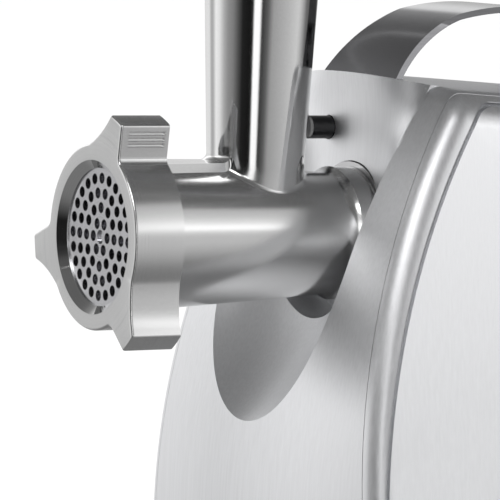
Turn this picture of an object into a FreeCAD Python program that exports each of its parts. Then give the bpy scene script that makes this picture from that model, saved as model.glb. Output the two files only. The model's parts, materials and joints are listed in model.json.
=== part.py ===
import FreeCAD, Part
import math
import os

# Electric meat grinder, millimetres.
# X is across the machine, -Y is the front where the mince comes out, +Z is up.
# The parts are drawn from the hub's Y and saved with the origin at the middle of the
# machine's outline, on the surface that the feet stand on.

# ---- driving dimensions --------------------------------------------------
axisZ = 165.0          # height of the grinding axis
ringFrontY = -170.0    # front face of the screw ring
ringLength = 23.3
ringRadius = 40.0
ringMouth = 29.6       # radius of the ring's front opening
ringLip = 4.0
lugRadius = 55.0       # tip of the three ring lugs
lugAngle = 70.0        # direction of the first lug, from +X towards +Z
threadRadius = 34.0
plateRadius = 31.0
plateThickness = 5.0
tubeY = -90.5          # axis of the feed tube
tubeTopZ = 288.0
tubeTopRadius = 25.5
tubeDraft = 0.0444     # the tube narrows by this much per millimetre down
flangeFrontY = -52.0
hubY = -40.3           # pocket floor around the hub

feetHeight = 8.0
bodyTopZ = 236.0
bodyRearY = 98.0
topHalfWidth = 74.0    # half width of the housing at shoulderZ
shoulderZ = 235.0
sideDraft = 0.14       # the sides spread by this much per millimetre down
topSlope = 0.061       # the top falls by this much per millimetre to the rear
shoulderRadius = 18.0
frontY = -94.8         # most forward point of the front
frontRadius = 348.5    # side view radius of the front
frontCentreZ = 42.0
crownRadius = 376.0    # plan radius of the front
edgeRadius = 10.0
wall = 2.5
frameWall = 5.0
seamInset = 10.0       # width of the side frames, seen from the front
splitY = 18.0          # where the front shell meets the rear shell
gap = 0.3

scoopHalf = 50.0       # half width of the hollow behind the head
scoopArc = 178.0       # side view radius of the hollow's floor
scoopPlan = 66.0       # plan radius of the hollow's floor
scoopTopZ = 209.0      # the floor is furthest back here
scoopFloorY = -40.0
pocketRadius = 34.4    # round pocket under the barrel, a little below the axis
pocketZ = 161.7
scoopFlatness = 3.4    # how flat the hollow is across before its sides rise

buttonX = -22.0
buttonZ = 210.3
buttonRadius = 5.2
buttonTipY = -51.2

motorZ = 75.0
gearAxis1 = (-3.5, 109.8)
gearAxis2 = (30.0, 126.6)

originY = -37.5        # middle of the whole machine, front to rear

frontCentreY = frontY + frontRadius
V = FreeCAD.Vector
alongX = V(1, 0, 0)
alongY = V(0, 1, 0)
alongZ = V(0, 0, 1)

os.makedirs("parts", exist_ok=True)


def save(name, shape):
    placed = shape.copy()
    placed.translate(V(0, -originY, 0))
    placed.exportStep("parts/" + name + ".step")


# ---- basic shapes --------------------------------------------------------
def box(x0, x1, y0, y1, z0, z1):
    return Part.makeBox(x1 - x0, y1 - y0, z1 - z0, V(x0, y0, z0))


def rodX(radius, x0, x1, y, z):
    return Part.makeCylinder(radius, x1 - x0, V(x0, y, z), alongX)


def rodY(radius, y0, y1, x=0.0, z=axisZ):
    return Part.makeCylinder(radius, y1 - y0, V(x, y0, z), alongY)


def rodZ(radius, z0, z1, x=0.0, y=0.0):
    return Part.makeCylinder(radius, z1 - z0, V(x, y, z0), alongZ)


def ringY(outer, inner, y0, y1, x=0.0, z=axisZ):
    return rodY(outer, y0, y1, x, z).cut(rodY(inner, y0 - 1, y1 + 1, x, z))


def prism(points, direction):
    return Part.Face(Part.makePolygon(points + [points[0]])).extrude(direction)


def turned(profile, x=0.0, z=axisZ):
    """A solid turned about an axis along Y, from its (radius, y) points."""
    points = [V(x + r, y, z) for r, y in profile]
    face = Part.Face(Part.makePolygon(points + [points[0]]))
    return face.revolve(V(x, 0, z), alongY, 360)


def joined(shapes):
    return shapes[0].multiFuse(shapes[1:]).removeSplitter()


def group(shapes):
    return Part.makeCompound(shapes)


def mirrored(shape):
    return shape.mirror(V(0, 0, 0), alongX)


def spunY(shape, degrees, x=0.0, z=axisZ):
    turnedShape = shape.copy()
    turnedShape.rotate(V(x, 0, z), alongY, degrees)
    return turnedShape


def edgesWhere(shape, test):
    return [edge for edge in shape.Edges if test(edge.BoundBox)]


def arcEdge(a, b, c):
    return Part.Arc(a, b, c).toShape()


# ---- housing -------------------------------------------------------------
def halfWidth(z):
    return topHalfWidth + (shoulderZ - z) * sideDraft


def frontAt(x, z):
    """Y of the housing's crowned front surface."""
    radius = frontRadius - x * x / (2 * crownRadius)
    return frontCentreY - math.sqrt(radius * radius - (z - frontCentreZ) ** 2)


def frontWheel(inset):
    """The crowned front: a shallow arc turned about a level axis far behind it."""
    reach = 130.0
    tip = frontRadius - inset
    edge = tip - reach * reach / (2 * crownRadius)
    corners = [V(-reach, frontCentreY, frontCentreZ), V(-reach, frontCentreY - edge, frontCentreZ),
               V(reach, frontCentreY - edge, frontCentreZ), V(reach, frontCentreY, frontCentreZ)]
    outline = Part.Wire([
        Part.makeLine(corners[0], corners[1]),
        arcEdge(corners[1], V(0, frontCentreY - tip, frontCentreZ), corners[2]),
        Part.makeLine(corners[2], corners[3]),
        Part.makeLine(corners[3], corners[0])])
    return Part.Face(outline).revolve(corners[0], alongX, 360)


def bodyBar(inset):
    """The body's section with rounded shoulders, drawn out along the sloping top."""
    startY = frontY - 20.0
    endY = bodyRearY - inset
    top = bodyTopZ - inset + (scoopFloorY - startY) * topSlope
    crownDrop = 4.0
    low = -40.0
    xTop = halfWidth(top) - inset
    xLow = halfWidth(low) - inset
    outline = Part.Wire([
        Part.makeLine(V(-xLow, startY, low), V(-xTop, startY, top - crownDrop)),
        arcEdge(V(-xTop, startY, top - crownDrop), V(0, startY, top), V(xTop, startY, top - crownDrop)),
        Part.makeLine(V(xTop, startY, top - crownDrop), V(xLow, startY, low)),
        Part.makeLine(V(xLow, startY, low), V(-xLow, startY, low))])
    length = endY - startY
    solid = Part.Face(outline).extrude(V(0, length, -length * topSlope))
    shoulders = edgesWhere(solid, lambda b: b.YLength > length * 0.9 and b.ZMin > 100)
    return solid.makeFillet(shoulderRadius - inset, shoulders)


def housing(inset, floorZ):
    """The whole body's outside, or the same shape set in by a wall's thickness."""
    solid = bodyBar(inset).common(frontWheel(inset))
    rims = edgesWhere(solid, lambda b: b.YLength < 130 and b.ZMax > 60)
    solid = solid.makeFillet(edgeRadius - inset, rims)
    return solid.common(box(-200, 200, -200, 200, floorZ, 300))


def scoopFloor(x, z):
    """Y of the hollow's floor: a torus below, opening into a shallow channel above."""
    arcCentreY = scoopFloorY - scoopArc
    drop = z - scoopTopZ
    middle = arcCentreY + math.sqrt(scoopArc ** 2 - drop ** 2)
    reach = scoopArc - scoopPlan + math.sqrt(scoopPlan ** 2 - x * x)
    torus = arcCentreY + math.sqrt(reach ** 2 - drop ** 2)
    channel = middle - (abs(x) / scoopHalf) ** scoopFlatness * (middle - frontAt(scoopHalf, z))
    part = min(1.0, max(0.0, (z - 140.0) / 45.0))
    blend = part * part * (3 - 2 * part)
    return torus * (1 - blend) + channel * blend


def scoopTool(grow):
    """The hollow behind the grinding head, as a solid to cut away."""
    columns = [(scoopHalf + 2.0) * k / 8 for k in range(-8, 9)]
    rows = [66.0 + 9.0 * k for k in range(21)]
    points = [[V(x, scoopFloor(x, z) + grow, z) for z in rows] for x in columns]
    surface = Part.BSplineSurface()
    surface.interpolate(points)
    return surface.toShape().extrude(V(0, -150, 0))


def seamPrism(inset):
    """Everything between the two side frames."""
    low = -50.0
    high = 260.0
    xLow = halfWidth(low) - seamInset - inset
    xHigh = halfWidth(high) - seamInset - inset
    return prism([V(-xLow, -200, low), V(xLow, -200, low), V(xHigh, -200, high), V(-xHigh, -200, high)],
                 V(0, 400, 0))


def panelPrism(grow):
    """Side view outline of a side panel, swept across the right half of the body."""
    radius = frontRadius - 18.0 + grow
    frontEdge = Part.makeCylinder(radius, 90, V(40, frontCentreY, frontCentreZ), alongX)
    top = bodyTopZ - 8.5 + grow
    slab = prism([V(40, -120, 18 - grow), V(40, bodyRearY - 14 + grow, 18 - grow),
                  V(40, bodyRearY - 14 + grow, top - (bodyRearY + 26) * topSlope),
                  V(40, -120, top + 80 * topSlope)], V(90, 0, 0))
    solid = slab.common(frontEdge)
    corners = edgesWhere(solid, lambda b: b.XLength > 80)
    return solid.makeFillet(12.0 + grow, corners)


brow = bodyBar(0.0).common(box(-scoopHalf, scoopHalf, -60, -20, 205, 260))
outer = housing(0.0, feetHeight).fuse(brow)
inner = housing(wall, -30.0)
scooped = outer.cut(scoopTool(0.0)).cut(rodY(pocketRadius, -150, hubY, 0, pocketZ))
hollow = inner.cut(scoopTool(wall)).cut(rodY(pocketRadius + wall, -150, hubY + wall, 0, pocketZ))
shell = scooped.cut(hollow)
centre = shell.common(seamPrism(gap / 2))

# ---- front shell ---------------------------------------------------------
handleSpots = [(x, y, z) for x in (-8, 8) for y, z in ((-31.0, 232.6), (81.5, 225.4))]
handleBores = group([rodZ(1.8, z - 8, z + 6, x, y) for x, y, z in handleSpots])
frontShell = centre.common(box(-150, 150, -150, splitY, 0, 260)).cut(handleBores)
frontShell = frontShell.cut(rodY(32.0, -60, -20))
frontShell = frontShell.cut(rodY(buttonRadius + 0.3, -60, -20, buttonX, buttonZ))
save("front_shell", frontShell)

# ---- rear shell, with its cooling slots -----------------------------------
rearShell = centre.common(box(-150, 150, splitY + gap, 150, 0, 260)).cut(handleBores)
slots = []
for row in range(9):
    slotZ = 118.0 + row * 9.0
    slots.append(box(-42, 42, 85, 110, slotZ, slotZ + 4.0))
rearShell = rearShell.cut(group(slots))
glandX = 52.0
glandZ = 34.0
rearShell = rearShell.cut(rodY(6.2, 80, 110, glandX, glandZ))
save("rear_shell", rearShell)

# ---- side frames and panels -------------------------------------------------
thickShell = outer.cut(housing(frameWall, -30.0))
rightHalf = box(20, 150, -150, 150, 0, 260)
sideBand = thickShell.cut(seamPrism(-gap / 2)).common(rightHalf)
recess = panelPrism(2.0).cut(housing(2.4, -30.0))
keyY = 42.0
keyZ = (172.0, 142.0)
keyRadius = 9.0
sideFrame = sideBand.cut(recess)
sidePanel = panelPrism(0.0).common(outer).cut(housing(2.3, -30.0))
keyHoles = group([rodX(keyRadius + 0.4, 60, 120, keyY, z) for z in keyZ])
save("side_frame_right", sideFrame.cut(keyHoles))
save("side_frame_left", mirrored(sideFrame))
save("side_panel_right", sidePanel.cut(keyHoles))
save("side_panel_left", mirrored(sidePanel))

# ---- base, feet and cord gland ----------------------------------------------
footSpots = [(-78.0, -68.0), (78.0, -68.0), (-78.0, 76.0), (78.0, 76.0)]
basePlate = housing(frameWall + 0.5, -30.0).common(box(-200, 200, -200, 200, feetHeight, feetHeight + 3))
ventSlots = [box(-46, 46, y, y + 4, 0, 20) for y in range(-30, 50, 10)]
basePlate = basePlate.cut(group(ventSlots))
footBores = [rodZ(2.1, 0, 20, x, y) for x, y in footSpots]
basePlate = basePlate.cut(group(footBores))
save("base_plate", basePlate)


def foot(x, y):
    body = Part.makeCone(11.0, 12.5, feetHeight, V(x, y, 0), alongZ)
    return body.cut(rodZ(4.6, -1, 3.5, x, y)).cut(rodZ(2.1, -1, 20, x, y))


def countersunkScrew(x, y):
    head = rodZ(4.0, 0.8, 3.4, x, y)
    shank = rodZ(2.0, 3.4, 15.0, x, y)
    return joined([head, shank])


save("feet", group([foot(x, y) for x, y in footSpots]))
save("feet_screws", group([countersunkScrew(x, y) for x, y in footSpots]))

gland = joined([rodY(9.0, bodyRearY, bodyRearY + 3.0, glandX, glandZ),
                rodY(6.0, bodyRearY - 6.0, bodyRearY, glandX, glandZ)])
save("cord_gland", gland.cut(rodY(3.6, 80, 110, glandX, glandZ)))

# ---- handle -------------------------------------------------------------------
handleThickness = 2.8
handleFoot = 31.0      # half width where it meets the body
handleGrip = 25.0      # half width along the top
handleBlockHalf = 14.0 # half width of the blocks that take the screws
handleFrontY = -43.5
handleRearY = 91.0


def handleCurve(drop):
    """Side view of the handle from its front foot to its rear foot."""
    return [arcEdge(V(0, handleFrontY + drop, 226), V(0, -28.0 + drop * 0.8, 248.5 - drop * 0.6),
                    V(0, -3, 263.8 - drop)),
            arcEdge(V(0, -3, 263.8 - drop), V(0, 24, 267.4 - drop), V(0, 51, 265.2 - drop)),
            arcEdge(V(0, 51, 265.2 - drop), V(0, 76 - drop * 0.7, 248.0 - drop * 0.6),
                    V(0, handleRearY - drop, 218))]


top = handleCurve(0.0)
under = handleCurve(handleThickness)
feetLines = [Part.makeLine(V(0, handleFrontY, 226), V(0, handleFrontY + handleThickness, 226)),
             Part.makeLine(V(0, handleRearY - handleThickness, 218), V(0, handleRearY, 218))]
handleFace = Part.Face(Part.Wire(Part.__sortEdges__(top + feetLines + under)))
handleFace.translate(V(-40, 0, 0))
band = handleFace.extrude(V(80, 0, 0))
frontView = prism([V(-handleFoot, -60, 215), V(handleFoot, -60, 215), V(handleFoot, -60, 232),
                   V(handleGrip, -60, 259), V(handleGrip, -60, 280), V(-handleGrip, -60, 280),
                   V(-handleGrip, -60, 259), V(-handleFoot, -60, 232)], V(0, 170, 0))
grip = band.common(frontView)
blocks = [box(-handleBlockHalf, handleBlockHalf, handleFrontY + 2, -26.5, 225, 241),
          box(-handleBlockHalf, handleBlockHalf, 76, handleRearY - 2, 215, 238)]
rearCurve = Part.Face(Part.Wire(Part.__sortEdges__(handleCurve(1.0) + [
    Part.makeLine(V(0, handleFrontY + 1.0, 226), V(0, handleRearY - 1.0, 218))])))
rearCurve.translate(V(-40, 0, 0))
blocks = [block.common(rearCurve.extrude(V(80, 0, 0))) for block in blocks]
handle = joined([grip] + blocks).cut(outer)
handle = max(handle.Solids, key=lambda s: s.Volume)
save("handle", handle.cut(handleBores))
save("handle_screws", group([joined([rodZ(1.7, z - 6, z + 5, x, y), rodZ(3.4, z - 8.6, z - 6, x, y)])
                             for x, y, z in handleSpots]))

# ---- grinding head: barrel with its feed tube ------------------------------------
boreFront = 28.6
boreRear = 24.6
barrelRearY = -60.0
seatY = -160.9         # the perforated plate rests here
plateFrontY = seatY - plateThickness


def tubeRadius(z):
    return tubeTopRadius - (tubeTopZ - z) * tubeDraft


barrelOutside = turned([(0, -165.4), (threadRadius, -165.4), (threadRadius, -147.6), (32.0, -146.0),
                        (27.2, -57.5), (27.6, -55.0), (28.6, -53.2), (29.5, flangeFrontY), (29.5, -41.9),
                        (24.0, -41.9), (24.0, -34.0), (0, -34.0)])
barrelInside = turned([(0, -167), (plateRadius + 0.15, -167), (plateRadius + 0.15, seatY),
                       (boreFront, seatY), (boreRear, barrelRearY), (10.0, barrelRearY), (10.0, -50.0),
                       (12.6, -50.0), (12.6, -30.0), (0, -30.0)])
tubeOutside = Part.makeCone(tubeRadius(axisZ), tubeTopRadius, tubeTopZ - axisZ, V(0, tubeY, axisZ), alongZ)
tubeBore = Part.makeCone(tubeRadius(axisZ) - 2.2, tubeTopRadius - 2.2, tubeTopZ - axisZ + 0.02,
                         V(0, tubeY, axisZ), alongZ)
land = prism([V(-15, -146, 170), V(15, -146, 170), V(9, -100, 170), V(-9, -100, 170)], V(0, 0, 27.2))
barrel = joined([barrelOutside, tubeOutside, land])
junction = edgesWhere(barrel, lambda b: b.ZMin > 175 and b.ZMax < 200 and b.YMin > -115 and b.YMax < -60)
barrel = barrel.makeFillet(3.0, junction)
barrel = barrel.cut(barrelInside).cut(tubeBore)
threadGrooves = [ringY(threadRadius + 1, threadRadius - 0.8, y, y + 1.2) for y in (-162.0, -158.5, -155.0)]
barrel = barrel.cut(group(threadGrooves))
barrel = barrel.cut(box(-1.6, 1.6, -166, seatY, axisZ - 33, axisZ - 30))
save("barrel", barrel)
save("barrel_bush", ringY(9.95, 8.56, barrelRearY + 0.3, -50.2))

# ---- perforated plate, knife and screw ring ------------------------------------------
plate = rodY(plateRadius, plateFrontY, seatY - 0.05)
holePitch = 6.3
holes = []
for ringIndex in range(1, 5):
    count = 6 * ringIndex
    for index in range(count):
        angle = 2 * math.pi * index / count
        holes.append(rodY(2.35, plateFrontY - 1, seatY + 1, ringIndex * holePitch * math.cos(angle),
                          axisZ + ringIndex * holePitch * math.sin(angle)))
holes.append(rodY(3.05, plateFrontY - 1, seatY + 1))
plate = plate.cut(group(holes))
save("perforated_plate", plate)

wings = []
for quarter in range(4):
    wing = prism([V(-4.5, -160.6, axisZ), V(4.5, -160.6, axisZ), V(2.5, -155.4, axisZ),
                  V(-4.5, -155.4, axisZ)], V(0, 0, 27.0))
    wings.append(spunY(wing, 90 * quarter))
knife = joined([rodY(9.0, -160.6, -153.2)] + wings).cut(rodY(5.0, -170, -150))
save("knife", knife)


def lug(angle):
    """A ring lug with one steep flank and one long sweeping flank."""
    spread = math.radians(5.7)
    tip = [V(lugRadius * math.cos(a), ringFrontY, lugRadius * math.sin(a)) for a in (-spread, 0, spread)]
    steepFoot = math.radians(-14.0)
    longFoot = math.radians(40.0)
    root = ringRadius - 2.0
    footA = V(root * math.cos(steepFoot), ringFrontY, root * math.sin(steepFoot))
    footB = V((root + 1.4) * math.cos(longFoot), ringFrontY, (root + 1.4) * math.sin(longFoot))
    middleAngle = math.radians(16.0)
    middle = V(44.3 * math.cos(middleAngle), ringFrontY, 44.3 * math.sin(middleAngle))
    outline = Part.Wire([arcEdge(tip[0], tip[1], tip[2]), arcEdge(tip[2], middle, footB),
                         Part.makeLine(footB, V(20, ringFrontY, 0)), Part.makeLine(V(20, ringFrontY, 0), footA),
                         Part.makeLine(footA, tip[0])])
    solid = Part.Face(outline).extrude(V(0, ringLength, 0))
    solid.rotate(V(0, 0, 0), alongY, -angle)
    solid.translate(V(0, 0, axisZ))
    return solid


def lugGrooves(angle):
    """Three grip grooves across the steep flank of a lug."""
    tip = V(lugRadius * math.cos(math.radians(-5.7)), 0, lugRadius * math.sin(math.radians(-5.7)))
    foot = V(38.0 * math.cos(math.radians(-14)), 0, 38.0 * math.sin(math.radians(-14)))
    rods = []
    for along in (0.20, 0.34, 0.48):
        spot = tip + (foot - tip) * along
        rods.append(Part.makeCylinder(0.9, ringLength - 6, V(spot.x, ringFrontY + 4, spot.z), alongY))
    rods = group(rods)
    rods.rotate(V(0, 0, 0), alongY, -angle)
    rods.translate(V(0, 0, axisZ))
    return rods


def uprightEdges(solid, radius, headings):
    """Edges along Y at a distance from the axis, near one of the headings in degrees."""
    found = []
    for edge in edgesWhere(solid, lambda b: b.YLength > 15 and b.XLength < 0.1 and b.ZLength < 0.1):
        spot = edge.BoundBox
        distance = math.hypot(spot.XMin, spot.ZMin - axisZ)
        direction = math.degrees(math.atan2(spot.ZMin - axisZ, spot.XMin))
        near = any(abs((direction - h + 180) % 360 - 180) < 3.0 for h in headings)
        if abs(distance - radius) < 0.6 and near:
            found.append(edge)
    return found


lugAngles = [lugAngle + 120 * k for k in range(3)]
ringSolid = joined([rodY(ringRadius, ringFrontY, ringFrontY + ringLength)] + [lug(a) for a in lugAngles])
for radius, offset, bend in ((ringRadius, -13.0, 4.0), (ringRadius, 28.0, 12.0), (lugRadius, -6.0, 1.5),
                               (lugRadius, 6.0, 1.5)):
    corners = uprightEdges(ringSolid, radius, [a + offset for a in lugAngles])
    ringSolid = ringSolid.makeFillet(bend, corners)
frontRims = edgesWhere(ringSolid, lambda b: b.YMax < ringFrontY + 0.1)
ringSolid = ringSolid.makeFillet(1.2, frontRims)
ringSolid = ringSolid.cut(group([lugGrooves(a) for a in lugAngles]))
ringSolid = ringSolid.cut(rodY(threadRadius + 0.08, ringFrontY + ringLip, -100))
ringSolid = ringSolid.cut(rodY(ringMouth, -180, -100))
mouthCone = Part.makeCone(ringMouth + 3.4, ringMouth - 0.6, 4.0, V(0, ringFrontY - 0.001, axisZ), alongY)
ringSolid = ringSolid.cut(mouthCone)
save("screw_ring", ringSolid)


# ---- worm --------------------------------------------------------------------------
def wormFlight():
    """One tapering helical flight around the worm's core."""
    pitch = 27.0
    length = 84.0
    helix = Part.makeHelix(pitch, length, 14.0)
    profile = Part.makePolygon([V(6, 0, -2.2), V(28, 0, -1.3), V(28, 0, 1.3), V(6, 0, 2.2), V(6, 0, -2.2)])
    flight = Part.Wire(helix).makePipeShell([profile], True, True)
    flight.rotate(V(0, 0, 0), alongX, -90)
    flight.translate(V(0, -150.0, axisZ))
    envelope = turned([(0, -153), (boreFront - 0.9, -153), (boreRear - 0.6, -61), (0, -61)])
    return flight.common(envelope)


core = turned([(0, -152.8), (9.5, -152.8), (11.5, -62), (11.5, -60.2), (8.5, -60.2), (8.5, -40.0),
               (0, -40.0)])
stub = rodY(4.9, -160.6, -152.8)
pin = rodY(3.0, -164.8, -160.6)
worm = joined([core, stub, pin, wormFlight()])
save("worm", worm)


def hexPrism(across, y0, y1):
    radius = across / math.sqrt(3)
    points = [V(radius * math.cos(math.radians(60 * k)), y0, axisZ + radius * math.sin(math.radians(60 * k)))
              for k in range(6)]
    return prism(points, V(0, y1 - y0, 0))


coupling = hexPrism(18.0, -39.8, -23.0).cut(rodY(2.6, -50, -20))
save("worm_coupling", coupling)
save("coupling_screw", joined([rodY(2.5, -39.8, -23.0), rodY(4.5, -22.9, -19.5)]))


# ---- gears -----------------------------------------------------------------------------
def gear(teeth, module, y0, y1, centre, bore, pointing):
    """A spur gear with one tooth centred on the direction 'pointing', in degrees."""
    x, z = centre
    pitchRadius = teeth * module / 2
    tipRadius = pitchRadius + 0.75 * module
    rootRadius = pitchRadius - 1.2 * module
    step = 2 * math.pi / teeth
    points = []
    for index in range(teeth):
        middle = math.radians(pointing) + index * step
        for radius, part in ((rootRadius, -0.30), (tipRadius, -0.10), (tipRadius, 0.10), (rootRadius, 0.30)):
            angle = middle + part * step
            points.append(V(x + radius * math.cos(angle), y0, z + radius * math.sin(angle)))
    blank = prism(points, V(0, y1 - y0, 0))
    return blank.cut(rodY(bore, y0 - 1, y1 + 1, x, z))


def heading(start, end):
    return math.degrees(math.atan2(end[1] - start[1], end[0] - start[0]))


def meshedWith(teeth, start, end):
    """The direction of a tooth on the gear at 'end' that leaves a gap facing 'start'."""
    return heading(end, start) + 180.0 / teeth


motorAxis = (0.0, motorZ)
outputAxis = (0.0, axisZ)
pinionGear = gear(10, 1.0, 2.0, 10.0, motorAxis, 2.5, heading(motorAxis, gearAxis1))
bigGear1 = gear(60, 1.0, 3.0, 9.0, gearAxis1, 4.06, meshedWith(60, motorAxis, gearAxis1))
pinion1 = gear(12, 1.25, -9.5, 3.0, gearAxis1, 4.06, heading(gearAxis1, gearAxis2))
bigGear2 = gear(48, 1.25, -9.0, 1.0, gearAxis2, 4.06, meshedWith(48, gearAxis1, gearAxis2))
pinion2 = gear(13, 1.5, -26.5, -9.0, gearAxis2, 4.06, heading(gearAxis2, outputAxis))
outputBlank = gear(52, 1.5, -26.0, -12.0, outputAxis, 9.0, meshedWith(52, gearAxis2, outputAxis))
save("motor_pinion", pinionGear)
save("first_gear", joined([bigGear1, pinion1]))
save("second_gear", joined([bigGear2, pinion2]))
outputHub = joined([outputBlank.fuse(rodY(15.95, -33.5, -12.0)), rodY(10.0, -16.0, 14.8)])
save("output_gear", outputHub.cut(hexPrism(18.2, -40, -18.0)))

# ---- gearbox ---------------------------------------------------------------------------------
boxLeft = -44.0
boxRight = 67.0
boxLow = 62.0
boxHigh = 165.0
boxFront = -32.0
boxRear = 11.5
caseRadius = 43.6      # round part of the case, over the output gear
caseWall = 3.0
coverWall = 4.0
earReach = 47.0        # distance of the two upper bolts from the grinding axis
earAngle = 35.0


def caseBlock(inset, y0, y1):
    """The case's outline, a rectangle under a circle, over a stretch of Y."""
    solid = box(boxLeft + inset, boxRight - inset, y0, y1, boxLow + inset, boxHigh - inset)
    solid = solid.makeFillet(14.0 - inset, edgesWhere(solid, lambda b: b.YLength > (y1 - y0) * 0.9))
    return solid.fuse(rodY(caseRadius - inset, y0, y1))


earX = earReach * math.cos(math.radians(earAngle))
earZ = axisZ + earReach * math.sin(math.radians(earAngle))
boltSpots = [(boxLeft + 9, boxLow + 9), (boxRight - 9, boxLow + 9), (-earX, earZ), (earX, earZ)]
collarBolts = [(26.5 * math.cos(math.radians(a)), axisZ + 26.5 * math.sin(math.radians(a)))
               for a in (45, 135, 225, 315)]
caseFront = caseBlock(0, boxFront, boxRear).cut(caseBlock(caseWall, boxFront + caseWall, boxRear + 1))
bosses = [rodY(5.0, boxFront + caseWall, boxRear, x, z) for x, z in boltSpots]
pinBosses = [rodY(7.0, boxFront + caseWall, -27.2, x, z) for x, z in (gearAxis1, gearAxis2)]
caseFront = joined([caseFront, rodY(30.0, boxFront, -26.6)] + bosses + pinBosses)
caseFront = caseFront.cut(rodY(22.05, -40, -20))
caseFront = caseFront.cut(group([rodY(4.0, -31, -20, x, z) for x, z in (gearAxis1, gearAxis2)]))
caseFront = caseFront.cut(group([rodY(1.8, -10, 20, x, z) for x, z in boltSpots]))
caseFront = caseFront.cut(group([rodY(1.8, -40, -27.5, x, z) for x, z in collarBolts]))
save("gearbox_case", caseFront)
coverRear = boxRear + coverWall
caseCover = caseBlock(0, boxRear, coverRear)
ears = [rodY(5.0, boxRear, coverRear, x, z) for x, z in boltSpots[2:]]
caseCover = joined([caseCover, rodY(15.0, boxRear, boxRear + 8.0, 0, motorZ)] + ears)
coverHoles = [rodY(11.05, 0, 30, 0, motorZ), rodY(12.0, 0, 30)]
coverHoles += [rodY(4.0, 0, 14.0, x, z) for x, z in (gearAxis1, gearAxis2)]
coverHoles += [rodY(2.1, 0, 30, x, z) for x, z in boltSpots]
save("gearbox_cover", caseCover.cut(group(coverHoles)))
save("gearbox_screws", group([joined([rodY(3.6, coverRear, coverRear + 3.0, x, z),
                                      rodY(1.75, -4, coverRear, x, z)]) for x, z in boltSpots]))
save("output_bearing", ringY(22.0, 16.0, -33.0, -27.0))
save("output_bush", ringY(11.95, 10.05, boxRear, 16.0))
save("gear_pins", group([rodY(4.0, -31.0, 14.0, x, z) for x, z in (gearAxis1, gearAxis2)]))

# ---- hub collar ----------------------------------------------------------------------------------
collar = ringY(31.6, 24.08, -41.6, boxFront - 0.02)
save("hub_collar", collar.cut(group([rodY(1.8, -38, -30, x, z) for x, z in collarBolts])))
save("collar_screws", group([rodY(1.75, -37.5, -28.0, x, z) for x, z in collarBolts]))

# ---- release button, its bar and its spring ---------------------------------------------------------
cap = rodY(buttonRadius, buttonTipY, -30.0, buttonX, buttonZ)
dish = Part.makeSphere(14.0, V(buttonX, buttonTipY - 13.2, buttonZ))
button = joined([cap.cut(dish), rodY(buttonRadius + 1.0, -35.6, -32.0, buttonX, buttonZ)])
save("release_button", button)
lockBar = joined([rodY(3.0, -30.0, -13.0, buttonX, 217.0), box(buttonX - 4, buttonX + 4, -30, -27, 206, 220)])
save("lock_bar", lockBar)


def spring(x, z, y0, y1, radius, wire, turns):
    """A coil spring along Y, its wire drawn with eight sides."""
    helix = Part.makeHelix((y1 - y0 - wire) / turns, y1 - y0 - wire, radius)
    corners = [math.radians(45 * k) for k in range(9)]
    outline = Part.makePolygon([V(radius + wire / 2 * math.cos(a), 0, wire / 2 * math.sin(a)) for a in corners])
    coil = Part.Wire(helix).makePipeShell([outline], True, True)
    coil.rotate(V(0, 0, 0), alongX, -90)
    coil.translate(V(x, y0 + wire / 2, z))
    return coil


save("release_spring", spring(buttonX, 217.0, -26.6, -14.0, 4.2, 0.8, 6))
bracketSpan = box(buttonX - 8, buttonX + 8, -20, -7, 190, 225)
bracketSaddle = ringY(caseRadius + 1.5, caseRadius + 0.02, -20, -7).common(bracketSpan)
bracketLeg = box(buttonX - 8, buttonX + 8, -9, -7, 190, 225).cut(rodY(caseRadius + 0.02, -30, 10))
springBracket = joined([bracketSaddle, bracketLeg]).cut(rodY(3.4, -12, 0, buttonX, 217.0))
save("spring_bracket", springBracket)

# ---- motor ---------------------------------------------------------------------------------------------
stackFront = 32.0
stackRear = 70.0
coreHalf = 42.0
stack = box(-coreHalf, coreHalf, stackFront, stackRear, motorZ - 36, motorZ + 36)
stack = stack.makeFillet(12.0, edgesWhere(stack, lambda b: b.YLength > 30))
windowCut = [box(s * 19 - 9, s * 19 + 9, 20, 80, motorZ + 15, motorZ + 26) for s in (-1, 1)]
windowCut += [box(s * 19 - 9, s * 19 + 9, 20, 80, motorZ - 26, motorZ - 15) for s in (-1, 1)]
stack = stack.cut(rodY(22.6, 20, 80, 0, motorZ)).cut(group(windowCut))
save("field_core", stack)
fieldCoils = []
for s in (-1, 1):
    for t in (-1, 1):
        low = motorZ + s * 20.5 - 5
        fieldCoils.append(box(t * 19 - 8.5, t * 19 + 8.5, stackFront - 6, stackRear + 6, low, low + 10))
fieldCoils = [c.cut(rodY(23.4, 20, 80, 0, motorZ)) for c in fieldCoils]
save("field_coils", group(fieldCoils))
save("motor_shaft", rodY(3.98, 10.4, 90.0, 0, motorZ).fuse(rodY(2.5, 2.0, 10.4, 0, motorZ)))
laminations = rodY(21.8, 34.0, 68.0, 0, motorZ)
armatureSlots = [spunY(box(-1.6, 1.6, 30, 72, motorZ + 12, motorZ + 24), 30 * k, 0, motorZ)
                 for k in range(12)]
save("armature_core", laminations.cut(rodY(4.0, 30, 72, 0, motorZ)).cut(group(armatureSlots)))
windings = [ringY(19.0, 4.05, 28.0, 34.0, 0, motorZ), ringY(19.0, 4.05, 68.0, 73.0, 0, motorZ)]
save("armature_winding", group(windings))
save("commutator", ringY(12.0, 4.05, 73.5, 82.0, 0, motorZ))
save("motor_bearings", group([ringY(11.0, 4.0, 13.0, 19.0, 0, motorZ),
                              ringY(9.0, 4.0, 84.5, 89.0, 0, motorZ)]))
fanFront = 20.4
fanRear = 25.4
blades = [spunY(box(-0.8, 0.8, fanFront + 1.2, fanRear, motorZ + 8, motorZ + 30), 30 * k, 0, motorZ)
          for k in range(12)]
fanDisc = ringY(30.0, 4.05, fanFront, fanFront + 1.4, 0, motorZ)
save("cooling_fan", joined([fanDisc, ringY(9.0, 4.05, fanFront, fanRear, 0, motorZ)] + blades))
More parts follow.
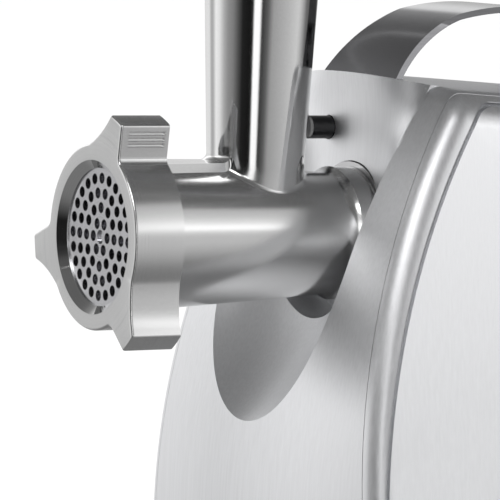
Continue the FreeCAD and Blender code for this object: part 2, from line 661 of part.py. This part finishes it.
bracket = box(-coreHalf, coreHalf, 84.0, 89.5, motorZ - 11, motorZ + 11)
bracketArms = [box(s * 38 - 4, s * 38 + 4, stackRear, 89.5, motorZ - 11, motorZ + 11) for s in (-1, 1)]
bracket = joined([bracket] + bracketArms).cut(rodY(9.05, 70, 100, 0, motorZ))
save("motor_bracket", bracket)
save("carbon_brushes", group([box(min(s * 12.1, s * 27), max(s * 12.1, s * 27), 75.0, 80.5, motorZ - 3,
                                  motorZ + 3) for s in (-1, 1)]))
holders = [box(min(s * 14, s * 33.6), max(s * 14, s * 33.6), 74.0, 81.5, motorZ - 4.2, motorZ + 4.2)
           .cut(box(-28, 28, 75.0, 80.5, motorZ - 3, motorZ + 3)) for s in (-1, 1)]
save("brush_holders", group(holders))
saddles = [box(-44, 44, y, y + 6, feetHeight + 3.2, motorZ - 20).cut(box(-coreHalf - 0.2, coreHalf + 0.2, y - 1,
           y + 7, motorZ - 36, motorZ)) for y in (36.0, 60.0)]
save("motor_saddle", joined([box(-44, 44, 36.0, 66.0, feetHeight + 3.2, feetHeight + 6.0)] + saddles))

# ---- controls and electronics ---------------------------------------------------------------------------
boardX = 48.8
boardThickness = 1.6
switchFace = boardX + boardThickness + 13.0


def key(z):
    outside = halfWidth(z) - 1.0
    stem = rodX(3.0, switchFace + 1.5, outside - 4.0, keyY, z)
    cap = rodX(keyRadius, outside - 4.5, outside + 2.2, keyY, z)
    cap = cap.makeFillet(0.8, edgesWhere(cap, lambda b: b.XMin > outside + 2.0))
    return joined([cap, stem])


save("power_key", key(keyZ[0]))
save("reverse_key", key(keyZ[1]))
save("key_switches", group([box(boardX + boardThickness, switchFace, keyY - 7, keyY + 7, z - 7, z + 7)
                            for z in keyZ]))
save("control_board", box(boardX, boardX + boardThickness, 24.0, 74.0, 124.0, 190.0))
capacitorBox = box(boardX - 12.5, boardX, 28.0, 52.0, 128.0, 144.0)
save("suppression_capacitor", capacitorBox)
boardBracket = joined([box(boardX - 3, boardX, 24.0, 74.0, feetHeight + 3, 190.0),
                       box(boardX - 3, boardX + 14, 24.0, 74.0, feetHeight + 3, feetHeight + 6)])
save("board_bracket", boardBracket.cut(box(boardX - 13, boardX + 1, 27.5, 52.5, 127.5, 144.5)))

# ---- tray and pusher --------------------------------------------------------------------------------------
trayFloorZ = 291.0
trayRimZ = 322.0
trayThickness = 1.4
trayHalfX = 108.0
trayFrontY = -172.0
trayRearY = -9.0
trayNeck = tubeTopRadius - 2.2


def trayBlock(inset, z0, z1):
    solid = box(-trayHalfX + inset, trayHalfX - inset, trayFrontY + inset, trayRearY - inset, z0, z1)
    solid = solid.makeFillet(46.0 - inset, edgesWhere(solid, lambda b: b.ZLength > (z1 - z0) * 0.9))
    return solid


pan = trayBlock(0.0, trayFloorZ, trayRimZ)
pan = pan.makeFillet(11.0, edgesWhere(pan, lambda b: b.ZMax < trayFloorZ + 0.1))
cavity = trayBlock(trayThickness, trayFloorZ + trayThickness, trayRimZ + 5)
cavity = cavity.makeFillet(9.6, edgesWhere(cavity, lambda b: b.ZMax < trayFloorZ + 2))
rim = trayBlock(-4.0, trayRimZ - 1.4, trayRimZ).cut(trayBlock(trayThickness, trayRimZ - 3, trayRimZ + 3))
neck = Part.makeCone(trayNeck - 0.8, trayNeck - 0.1, 15.0, V(0, tubeY, trayFloorZ - 15.0 + 0.5), alongZ)
neckBore = rodZ(trayNeck - 2.4, trayFloorZ - 20, trayRimZ + 6, 0, tubeY)
collarRing = rodZ(tubeTopRadius + 1.5, trayFloorZ - 2.6, trayFloorZ + 0.6, 0, tubeY)
tray = joined([pan.cut(cavity), rim, neck, collarRing]).cut(neckBore)
save("tray", tray)

pusherRadius = 18.2
pusherLowZ = 206.0
pusherTopZ = 334.0
shaft = rodZ(pusherRadius, pusherLowZ, pusherTopZ, 0, tubeY)
shaft = shaft.cut(rodZ(pusherRadius - 2.5, pusherLowZ + 4, pusherTopZ - 6, 0, tubeY))
flutes = []
for k in range(4):
    angle = math.radians(45 + 90 * k)
    flutes.append(rodZ(4.0, pusherLowZ - 1, pusherTopZ - 14, (pusherRadius + 2.4) * math.cos(angle),
                       tubeY + (pusherRadius + 2.4) * math.sin(angle)))
pusher = shaft.cut(group(flutes))
save("pusher", pusher)
knob = joined([rodZ(15.5, pusherTopZ, pusherTopZ + 12, 0, tubeY),
               rodZ(25.0, pusherTopZ + 12, pusherTopZ + 22, 0, tubeY)])
knob = knob.makeFillet(3.0, edgesWhere(knob, lambda b: b.ZMin > pusherTopZ + 21))
save("pusher_cap", knob)
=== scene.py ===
import json
import math
import bmesh
import bpy
from mathutils import Matrix, Vector


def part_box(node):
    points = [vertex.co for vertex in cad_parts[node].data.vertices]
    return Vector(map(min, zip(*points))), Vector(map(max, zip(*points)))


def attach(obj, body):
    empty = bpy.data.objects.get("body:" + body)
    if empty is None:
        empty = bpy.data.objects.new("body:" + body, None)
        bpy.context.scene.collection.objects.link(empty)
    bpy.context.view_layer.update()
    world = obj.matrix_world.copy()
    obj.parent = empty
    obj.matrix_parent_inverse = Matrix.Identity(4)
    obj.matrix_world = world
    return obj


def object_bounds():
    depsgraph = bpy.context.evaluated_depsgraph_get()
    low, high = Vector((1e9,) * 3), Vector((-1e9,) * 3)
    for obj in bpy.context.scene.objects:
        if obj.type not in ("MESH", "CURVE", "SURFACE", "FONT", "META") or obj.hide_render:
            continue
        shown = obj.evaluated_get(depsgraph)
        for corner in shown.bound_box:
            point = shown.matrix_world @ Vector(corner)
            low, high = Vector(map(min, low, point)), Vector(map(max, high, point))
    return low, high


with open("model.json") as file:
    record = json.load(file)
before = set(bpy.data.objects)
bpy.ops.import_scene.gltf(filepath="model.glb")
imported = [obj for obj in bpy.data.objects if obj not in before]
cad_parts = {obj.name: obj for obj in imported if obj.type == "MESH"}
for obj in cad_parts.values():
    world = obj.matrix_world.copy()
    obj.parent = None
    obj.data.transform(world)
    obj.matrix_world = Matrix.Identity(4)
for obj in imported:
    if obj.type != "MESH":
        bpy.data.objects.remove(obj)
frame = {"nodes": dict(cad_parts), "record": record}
cadLow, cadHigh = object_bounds()  # the CAD box, before any looks are added
nodes = frame["nodes"]
scene = bpy.context.scene
print("frame loaded:", len(nodes), "nodes")

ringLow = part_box("screw_ring")[0]
plateLow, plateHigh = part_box("perforated_plate")
axisZ = (plateLow.z + plateHigh.z) / 2  # height of the grinding axis
ringCentre = Vector((0.0, ringLow.y, axisZ))

cameraSettings = {
    "azimuth": 59.82,
    "elevation": 5.61,
    "roll": 2.06,
    "lens": 269.9,
    "sensor": 36.0,
    "distance": 1.6,
    "farthest": 30.0,
    "across": -0.0676,  # how far the ring's mouth sits from the middle of the view
    "upward": 0.0055,
}


def addCamera(settings):
    turn = math.radians(settings["azimuth"])
    tilt = math.radians(settings["elevation"])
    roll = math.radians(settings["roll"])
    right = Vector((math.cos(turn), math.sin(turn), 0.0))
    reach = math.cos(tilt)
    back = Vector((math.sin(turn) * reach, -math.cos(turn) * reach, math.sin(tilt)))
    up = back.cross(right)
    rolledRight = right * math.cos(roll) + up * math.sin(roll)
    rolledUp = up * math.cos(roll) - right * math.sin(roll)
    data = bpy.data.cameras.new("camera")
    data.lens = settings["lens"]
    data.sensor_width = settings["sensor"]
    data.clip_end = settings["farthest"]
    camera = bpy.data.objects.new("camera", data)
    place = ringCentre + back * settings["distance"]
    place -= rolledRight * settings["across"] + rolledUp * settings["upward"]
    facing = Matrix((rolledRight, rolledUp, back)).transposed().to_4x4()
    camera.matrix_world = Matrix.Translation(place) @ facing
    scene.collection.objects.link(camera)
    scene.camera = camera
    return back, right


viewBack, viewRight = addCamera(cameraSettings)
print("camera set")

finishes = {
    "brushed_shell": {"colour": (0.86, 0.865, 0.88), "metal": 1.0, "rough": (0.38, 0.48), "grain": "up",
                      "fine": 950, "run": 7, "depth": 0.010, "tone": 0.05},
    "silver_panel": {"colour": (0.90, 0.905, 0.92), "metal": 1.0, "rough": (0.30, 0.40), "grain": "up",
                     "fine": 950, "run": 6, "depth": 0.010, "tone": 0.035},
    "handle_metal": {"colour": (0.24, 0.24, 0.25), "metal": 1.0, "rough": (0.10, 0.17), "grain": "along",
                     "fine": 900, "run": 10, "depth": 0.008, "tone": 0.08},
    "ring_metal": {"colour": (0.72, 0.72, 0.72), "metal": 1.0, "rough": (0.18, 0.27), "grain": "round",
                   "fine": 1300, "run": 12, "depth": 0.012, "tone": 0.04},
    "head_metal": {"colour": (0.70, 0.70, 0.70), "metal": 1.0, "rough": (0.16, 0.24), "grain": "even",
                   "fine": 1600, "run": 1600, "depth": 0.02, "tone": 0.04},
    "polished_steel": {"colour": (0.86, 0.86, 0.87), "metal": 1.0, "rough": (0.04, 0.10), "grain": "round",
                       "fine": 1500, "run": 20, "depth": 0.02, "tone": 0.04},
    "cutting_steel": {"colour": (0.62, 0.62, 0.64), "metal": 1.0, "rough": (0.16, 0.30), "grain": "round",
                      "fine": 1800, "run": 30, "depth": 0.06, "tone": 0.10},
    "black_plastic": {"colour": (0.012, 0.012, 0.014), "metal": 0.0, "rough": (0.10, 0.18), "grain": "even",
                      "fine": 1200, "run": 1200, "depth": 0.02, "tone": 0.05},
    "dark_plastic": {"colour": (0.035, 0.035, 0.038), "metal": 0.0, "rough": (0.42, 0.58), "grain": "even",
                     "fine": 2200, "run": 2200, "depth": 0.14, "tone": 0.12},
    "white_nylon": {"colour": (0.80, 0.79, 0.74), "metal": 0.0, "rough": (0.34, 0.46), "grain": "even",
                    "fine": 700, "run": 700, "depth": 0.05, "tone": 0.04},
    "foot_rubber": {"colour": (0.022, 0.022, 0.023), "metal": 0.0, "rough": (0.62, 0.80), "grain": "even",
                    "fine": 1600, "run": 1600, "depth": 0.20, "tone": 0.15},
    "cast_alloy": {"colour": (0.60, 0.61, 0.62), "metal": 1.0, "rough": (0.42, 0.58), "grain": "even",
                   "fine": 800, "run": 800, "depth": 0.25, "tone": 0.14},
    "zinc_steel": {"colour": (0.58, 0.59, 0.60), "metal": 1.0, "rough": (0.24, 0.38), "grain": "even",
                   "fine": 1500, "run": 1500, "depth": 0.08, "tone": 0.10},
    "electric_steel": {"colour": (0.16, 0.16, 0.17), "metal": 1.0, "rough": (0.38, 0.52), "grain": "along",
                       "fine": 1400, "run": 8, "depth": 0.30, "tone": 0.18},
    "copper_wire": {"colour": (0.72, 0.30, 0.13), "metal": 1.0, "rough": (0.22, 0.34), "grain": "along",
                    "fine": 1300, "run": 12, "depth": 0.30, "tone": 0.16},
    "carbon": {"colour": (0.02, 0.02, 0.02), "metal": 0.0, "rough": (0.50, 0.66), "grain": "even",
               "fine": 1500, "run": 1500, "depth": 0.12, "tone": 0.20},
    "board_green": {"colour": (0.015, 0.13, 0.05), "metal": 0.0, "rough": (0.26, 0.40), "grain": "even",
                    "fine": 600, "run": 600, "depth": 0.04, "tone": 0.14},
}


# a value is a number or another node's output
def feed(tree, socket, value):
    if isinstance(value, bpy.types.NodeSocket):
        tree.links.new(value, socket)
    else:
        socket.default_value = value


def mathNode(tree, operation, *values):
    node = tree.nodes.new("ShaderNodeMath")
    node.operation = operation
    for socket, value in zip(node.inputs, values):
        feed(tree, socket, value)
    return node.outputs[0]


def rangeNode(tree, value, source, target, interpolation="LINEAR"):
    node = tree.nodes.new("ShaderNodeMapRange")
    node.interpolation_type = interpolation
    feed(tree, node.inputs["Value"], value)
    for name, number in zip(("From Min", "From Max", "To Min", "To Max"), (*source, *target)):
        node.inputs[name].default_value = number
    return node.outputs[0]


# texture coordinates stretched the way the finish was worked
def grainVector(tree, settings):
    coords = tree.nodes.new("ShaderNodeTexCoord")
    fine = settings["fine"]
    run = settings["run"]
    if settings["grain"] == "round":  # rings about the grinding axis
        split = tree.nodes.new("ShaderNodeSeparateXYZ")
        tree.links.new(coords.outputs["Object"], split.inputs[0])
        lift = mathNode(tree, "SUBTRACT", split.outputs["Z"], axisZ)
        flat = tree.nodes.new("ShaderNodeCombineXYZ")
        tree.links.new(split.outputs["X"], flat.inputs["X"])
        tree.links.new(lift, flat.inputs["Z"])
        length = tree.nodes.new("ShaderNodeVectorMath")
        length.operation = "LENGTH"
        tree.links.new(flat.outputs[0], length.inputs[0])
        joinUp = tree.nodes.new("ShaderNodeCombineXYZ")
        tree.links.new(length.outputs["Value"], joinUp.inputs["X"])
        tree.links.new(split.outputs["Y"], joinUp.inputs["Y"])
        source = joinUp.outputs[0]
        scale = (fine, fine, run)
    else:
        source = coords.outputs["Object"]
        scales = {"up": (fine, fine, run), "along": (fine, run, fine), "even": (fine, fine, fine)}
        scale = scales[settings["grain"]]
    mapping = tree.nodes.new("ShaderNodeMapping")
    mapping.inputs["Scale"].default_value = scale
    tree.links.new(source, mapping.inputs["Vector"])
    return mapping.outputs["Vector"], coords.outputs["Object"]


noiseSettings = {
    "fineDetail": 3.0,
    "fineRoughness": 0.65,
    "cloudScale": 14.0,
    "cloudDetail": 2.0,
    "cloudShare": 0.35,  # the rest of the mix is the fine grain
    "roughSpan": (0.3, 0.7),
    "toneSpan": (0.35, 0.65),
    "bumpHeight": 0.0003,
}


def noiseNode(tree, vector, scale, detail):
    noise = tree.nodes.new("ShaderNodeTexNoise")
    noise.inputs["Scale"].default_value = scale
    noise.inputs["Detail"].default_value = detail
    tree.links.new(vector, noise.inputs["Vector"])
    return noise


def toneRamp(tree, settings, value):
    ramp = tree.nodes.new("ShaderNodeValToRGB")
    low = [c * (1 - settings["tone"]) for c in settings["colour"]]
    high = [min(1.0, c * (1 + settings["tone"])) for c in settings["colour"]]
    for element, position, colour in zip(ramp.color_ramp.elements, noiseSettings["toneSpan"], (low, high)):
        element.position = position
        element.color = (*colour, 1.0)
    tree.links.new(value, ramp.inputs["Fac"])
    return ramp.outputs["Color"]


def makeFinish(name, settings):
    material = bpy.data.materials.new(name)
    material.use_nodes = True
    tree = material.node_tree
    tree.nodes.clear()
    output = tree.nodes.new("ShaderNodeOutputMaterial")
    shader = tree.nodes.new("ShaderNodeBsdfPrincipled")
    tree.links.new(shader.outputs[0], output.inputs["Surface"])
    shader.inputs["Metallic"].default_value = settings["metal"]
    shader.inputs["Base Color"].default_value = (*settings["colour"], 1.0)
    grain, place = grainVector(tree, settings)
    fine = noiseNode(tree, grain, 1.0, noiseSettings["fineDetail"])
    fine.inputs["Roughness"].default_value = noiseSettings["fineRoughness"]
    cloud = noiseNode(tree, place, noiseSettings["cloudScale"], noiseSettings["cloudDetail"])
    cloudShare = noiseSettings["cloudShare"]
    weight = mathNode(tree, "MULTIPLY", fine.outputs["Fac"], 1 - cloudShare)
    blend = mathNode(tree, "MULTIPLY_ADD", cloud.outputs["Fac"], cloudShare, weight)
    rough = rangeNode(tree, blend, noiseSettings["roughSpan"], settings["rough"])
    tree.links.new(rough, shader.inputs["Roughness"])
    tree.links.new(toneRamp(tree, settings, blend), shader.inputs["Base Color"])
    bump = tree.nodes.new("ShaderNodeBump")
    bump.inputs["Strength"].default_value = settings["depth"]
    bump.inputs["Distance"].default_value = noiseSettings["bumpHeight"]
    tree.links.new(fine.outputs["Fac"], bump.inputs["Height"])
    tree.links.new(bump.outputs["Normal"], shader.inputs["Normal"])
    return material


# part of a casting is polished brighter, by height or by distance from the axis
def fadeRoughness(material, settings):
    tree = material.node_tree
    shader = next(node for node in tree.nodes if node.type == "BSDF_PRINCIPLED")
    satin = shader.inputs["Roughness"].links[0].from_socket
    if settings["by"] == "height":
        coords = tree.nodes.new("ShaderNodeTexCoord")
        split = tree.nodes.new("ShaderNodeSeparateXYZ")
        tree.links.new(coords.outputs["Object"], split.inputs[0])
        measure = split.outputs["Z"]
    else:
        length = next(node for node in tree.nodes if node.type == "VECT_MATH" and node.operation == "LENGTH")
        measure = length.outputs["Value"]
    fade = rangeNode(tree, measure, (settings["from"], settings["to"]),
                     (settings["shareBefore"], settings["shareAfter"]), "SMOOTHSTEP")
    tree.links.new(mathNode(tree, "MULTIPLY", satin, fade), shader.inputs["Roughness"])


tubePolish = {"by": "height", "from": axisZ + 0.026, "to": axisZ + 0.034,
              "shareBefore": 1.0, "shareAfter": 0.42}
mouthPolish = {"by": "radius", "from": 0.0328, "to": 0.0336, "shareBefore": 0.25, "shareAfter": 1.0}
materials = {name: makeFinish(name, settings) for name, settings in finishes.items()}
materials["tube_metal"] = makeFinish("tube_metal", finishes["head_metal"])
fadeRoughness(materials["tube_metal"], tubePolish)
fadeRoughness(materials["ring_metal"], mouthPolish)
print("finishes made:", len(materials))


# smooth faces for every CAD node, kept sharp where two faces meet at a real edge
def smoothingGroup(settings):
    group = bpy.data.node_groups.new("smoothing", "GeometryNodeTree")
    group.interface.new_socket("Geometry", in_out="INPUT", socket_type="NodeSocketGeometry")
    group.interface.new_socket("Geometry", in_out="OUTPUT", socket_type="NodeSocketGeometry")
    start = group.nodes.new("NodeGroupInput")
    end = group.nodes.new("NodeGroupOutput")
    weld = group.nodes.new("GeometryNodeMergeByDistance")
    weld.inputs["Distance"].default_value = settings["weldDistance"]
    faces = group.nodes.new("GeometryNodeSetShadeSmooth")
    faces.domain = "FACE"
    edges = group.nodes.new("GeometryNodeSetShadeSmooth")
    edges.domain = "EDGE"
    edges.inputs["Shade Smooth"].default_value = False
    angle = group.nodes.new("GeometryNodeInputMeshEdgeAngle")
    sharp = group.nodes.new("FunctionNodeCompare")
    sharp.data_type = "FLOAT"
    sharp.operation = "GREATER_THAN"
    sharp.inputs["B"].default_value = math.radians(settings["sharpAngle"])
    group.links.new(angle.outputs["Unsigned Angle"], sharp.inputs["A"])
    group.links.new(start.outputs[0], weld.inputs["Geometry"])
    group.links.new(weld.outputs[0], faces.inputs["Geometry"])
    group.links.new(faces.outputs[0], edges.inputs["Geometry"])
    group.links.new(sharp.outputs["Result"], edges.inputs["Selection"])
    group.links.new(edges.outputs[0], end.inputs[0])
    return group


smoothing = smoothingGroup({"weldDistance": 1e-6, "sharpAngle": 32})
handleRounding = {"width": 0.0009, "segments": 3, "leastAngle": 50}
specialFinish = {"barrel": "tube_metal", "screw_ring": "ring_metal", "handle": "handle_metal"}
nodeSlot = {row["node"]: row["material_slot"] for row in frame["record"]["subparts"]}
for name, piece in nodes.items():
    piece.data.materials.clear()
    piece.data.materials.append(materials[specialFinish.get(name, nodeSlot[name])])
    modifier = piece.modifiers.new("smoothing", "NODES")
    modifier.node_group = smoothing
handleEdge = nodes["handle"].modifiers.new("rounded edges", "BEVEL")
handleEdge.width = handleRounding["width"]
handleEdge.segments = handleRounding["segments"]
handleEdge.limit_method = "ANGLE"
handleEdge.angle_limit = math.radians(handleRounding["leastAngle"])
nodes["handle"].modifiers.move(1, 0)  # rounding comes before the smoothing
print("CAD nodes dressed")


# a plain ring and dot pressed into each side key
keyMark = {"ringRadius": 0.0046, "ringWidth": 0.0007, "dotRadius": 0.0011, "flatShare": 0.6,
           "proud": 0.00015, "steps": 48}


def circle(mesh, middle, radius, rise, steps):
    angles = [2 * math.pi * k / steps for k in range(steps)]
    return [mesh.verts.new(middle + Vector((rise, radius * math.cos(a), radius * math.sin(a)))) for a in angles]


def bridge(mesh, loops):
    for inner, outer in zip(loops, loops[1:]):
        for k in range(len(inner)):
            after = (k + 1) % len(inner)
            mesh.faces.new((inner[k], inner[after], outer[after], outer[k]))


def addKeyMark(node, body, marks):
    low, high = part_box(node)
    middle = Vector((high.x, (low.y + high.y) / 2, (low.z + high.z) / 2))
    steps = marks["steps"]
    proud = marks["proud"]
    sunk = -2 * proud
    half = marks["ringWidth"] / 2
    flat = half * marks["flatShare"]
    ringShape = ((-half, sunk), (-half, 0.0), (-flat, proud), (flat, proud), (half, 0.0), (half, sunk))
    wide = marks["dotRadius"]
    dotShape = ((wide, sunk), (wide, 0.0), (wide * marks["flatShare"], proud))
    mesh = bmesh.new()
    ring = [circle(mesh, middle, marks["ringRadius"] + reach, rise, steps) for reach, rise in ringShape]
    bridge(mesh, ring + ring[:1])
    dot = [circle(mesh, middle, radius, rise, steps) for radius, rise in dotShape]
    bridge(mesh, dot)
    mesh.faces.new(dot[-1])
    mesh.faces.new(list(reversed(dot[0])))
    bmesh.ops.recalc_face_normals(mesh, faces=mesh.faces)
    for face in mesh.faces:
        face.smooth = True
    data = bpy.data.meshes.new(node + "_mark")
    mesh.to_mesh(data)
    mesh.free()
    mark = bpy.data.objects.new(node + "_mark", data)
    scene.collection.objects.link(mark)
    data.materials.append(materials["polished_steel"])
    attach(mark, body)


addKeyMark("power_key", "power", keyMark)
addKeyMark("reverse_key", "reverse", keyMark)
print("key marks made")

studio = {
    "floorSize": 60.0,
    "floorColour": (0.96, 0.96, 0.96),
    "floorRoughness": 0.9,
    "floorDrop": 0.0005,
    "skyStrength": 1.08,
    "walls": [  # how light the room is, by degrees to the right of the view direction
        (-180, 0.70), (-150, 0.95), (-134, 1.00), (-124, 0.55), (-116, 0.60), (-106, 1.20), (-94, 1.05),
        (-81, 0.58), (-70, 0.38), (-59, 0.30), (-47, 0.12), (-37, 0.02), (-22, 0.01), (-15, 0.02),
        (-12, 1.60), (-1, 1.50), (3, 0.04), (16, 0.16),
        (27, 0.48), (45, 0.58), (59, 0.66), (85, 0.84), (93, 0.66), (108, 0.20), (128, 0.10), (160, 0.08),
        (180, 0.70)],
    "heights": [  # lightness factor by the sine of the angle above the horizon
        (-1.0, 0.55), (-0.5, 0.50), (-0.25, 0.80), (-0.08, 1.0), (0.08, 0.95), (0.16, 1.20), (0.22, 1.75),
        (0.28, 1.6), (0.34, 0.85), (0.50, 0.40), (0.80, 0.32), (1.0, 0.45)],
    "ceilingTone": 0.42,
    "ceilingSpan": (0.25, 0.75),  # between these steepnesses the walls fade into it
    "aimHeight": 0.18,
    "softboxes": [  # turn is in degrees to the right of the view
        {"turn": 64, "up": 1.0, "away": 1.7, "wide": 1.0, "tall": 1.0, "power": 1.6},
        {"turn": -30, "up": 1.3, "away": 1.3, "wide": 0.9, "tall": 0.6, "power": 7},
    ],
}


def aimed(place, target):
    return Matrix.Translation(place) @ (place - target).to_track_quat("Z", "Y").to_matrix().to_4x4()


# a spot round the machine, turned to the right of the view
def around(turn, away, up):
    flatBack = Vector((viewBack.x, viewBack.y, 0.0)).normalized()
    angle = math.radians(turn)
    middle = Vector((0.0, (cadLow.y + cadHigh.y) / 2, 0.0))
    return middle + (flatBack * math.cos(angle) + viewRight * math.sin(angle)) * away + Vector((0, 0, up))


def fillRamp(ramp, stops):
    while len(ramp.elements) > 1:
        ramp.elements.remove(ramp.elements[-1])
    ramp.elements[0].position = stops[0][0]
    ramp.elements[0].color = (*[stops[0][1]] * 3, 1.0)
    for position, level in stops[1:]:
        element = ramp.elements.new(position)
        element.color = (level, level, level, 1.0)


# a white room for plain light, with soft grey walls and dark flags that only the metal mirrors
def addRoom(settings):
    world = bpy.data.worlds.new("studio")
    scene.world = world
    world.use_nodes = True
    tree = world.node_tree
    tree.nodes.clear()
    output = tree.nodes.new("ShaderNodeOutputWorld")
    plain = tree.nodes.new("ShaderNodeBackground")
    plain.inputs["Strength"].default_value = settings["skyStrength"]
    plain.inputs["Color"].default_value = (1.0, 1.0, 1.0, 1.0)
    mirrored = tree.nodes.new("ShaderNodeBackground")
    choose = tree.nodes.new("ShaderNodeMixShader")
    path = tree.nodes.new("ShaderNodeLightPath")
    tree.links.new(path.outputs["Is Glossy Ray"], choose.inputs[0])
    tree.links.new(plain.outputs[0], choose.inputs[1])
    tree.links.new(mirrored.outputs[0], choose.inputs[2])
    tree.links.new(choose.outputs[0], output.inputs[0])
    coords = tree.nodes.new("ShaderNodeTexCoord")
    turned = tree.nodes.new("ShaderNodeMapping")
    turned.vector_type = "POINT"
    # after this turn +X looks back at the viewer and +Y to the right
    turned.inputs["Rotation"].default_value = (0.0, 0.0, -math.atan2(viewBack.y, viewBack.x))
    tree.links.new(coords.outputs["Generated"], turned.inputs["Vector"])
    split = tree.nodes.new("ShaderNodeSeparateXYZ")
    tree.links.new(turned.outputs[0], split.inputs[0])
    bearing = mathNode(tree, "ARCTAN2", split.outputs["Y"], split.outputs["X"])
    walls = tree.nodes.new("ShaderNodeValToRGB")
    fillRamp(walls.color_ramp, [((turn + 180) / 360, level) for turn, level in settings["walls"]])
    tree.links.new(rangeNode(tree, bearing, (-math.pi, math.pi), (0.0, 1.0)), walls.inputs["Fac"])
    heights = tree.nodes.new("ShaderNodeValToRGB")
    top = max(level for _, level in settings["heights"])
    fillRamp(heights.color_ramp, [((sine + 1) / 2, level / top) for sine, level in settings["heights"]])
    tree.links.new(rangeNode(tree, split.outputs["Z"], (-1.0, 1.0), (0.0, 1.0)), heights.inputs["Fac"])
    # towards straight up and straight down the walls give way to an even ceiling
    steepness = mathNode(tree, "ABSOLUTE", split.outputs["Z"])
    evenness = rangeNode(tree, steepness, settings["ceilingSpan"], (0.0, 1.0), "SMOOTHSTEP")
    blend = tree.nodes.new("ShaderNodeMix")
    blend.data_type = "RGBA"
    blend.inputs["B"].default_value = (*[settings["ceilingTone"]] * 3, 1.0)
    tree.links.new(evenness, blend.inputs["Factor"])
    tree.links.new(walls.outputs["Color"], blend.inputs["A"])
    product = tree.nodes.new("ShaderNodeMix")
    product.data_type = "RGBA"
    product.blend_type = "MULTIPLY"
    product.inputs["Factor"].default_value = 1.0
    tree.links.new(blend.outputs["Result"], product.inputs["A"])
    tree.links.new(heights.outputs["Color"], product.inputs["B"])
    tree.links.new(product.outputs["Result"], mirrored.inputs["Color"])
    mirrored.inputs["Strength"].default_value = top


def plainMaterial(name, colour, roughness):
    material = bpy.data.materials.new(name)
    material.use_nodes = True
    shader = material.node_tree.nodes["Principled BSDF"]
    shader.inputs["Base Color"].default_value = (*colour, 1.0)
    shader.inputs["Roughness"].default_value = roughness
    shader.inputs["Specular IOR Level"].default_value = 0.1
    return material


def addPlane(name, wide, tall, place, material):
    mesh = bpy.data.meshes.new(name)
    x = wide / 2
    y = tall / 2
    corners = [(-x, -y, 0), (x, -y, 0), (x, y, 0), (-x, y, 0)]
    mesh.from_pydata(corners, [], [(0, 1, 2, 3)])
    plane = bpy.data.objects.new(name, mesh)
    plane.matrix_world = place
    mesh.materials.append(material)
    scene.collection.objects.link(plane)
    return plane


def addStudio(settings):
    size = settings["floorSize"]
    floor = addPlane("floor", size, size, Matrix.Translation((0, 0, -settings["floorDrop"])),
                     plainMaterial("floor", settings["floorColour"], settings["floorRoughness"]))
    floor.visible_glossy = False
    addRoom(settings)
    target = Vector((0, 0, settings["aimHeight"]))
    for index, row in enumerate(settings["softboxes"]):
        data = bpy.data.lights.new(f"softbox{index}", "AREA")
        data.shape = "RECTANGLE"
        data.size = row["wide"]
        data.size_y = row["tall"]
        data.energy = row["power"]
        lamp = bpy.data.objects.new(f"softbox{index}", data)
        lamp.matrix_world = aimed(around(row["turn"], row["away"], row["up"]), target)
        lamp.visible_camera = False
        scene.collection.objects.link(lamp)


addStudio(studio)
scene.view_settings.view_transform = "Standard"
print("studio set")
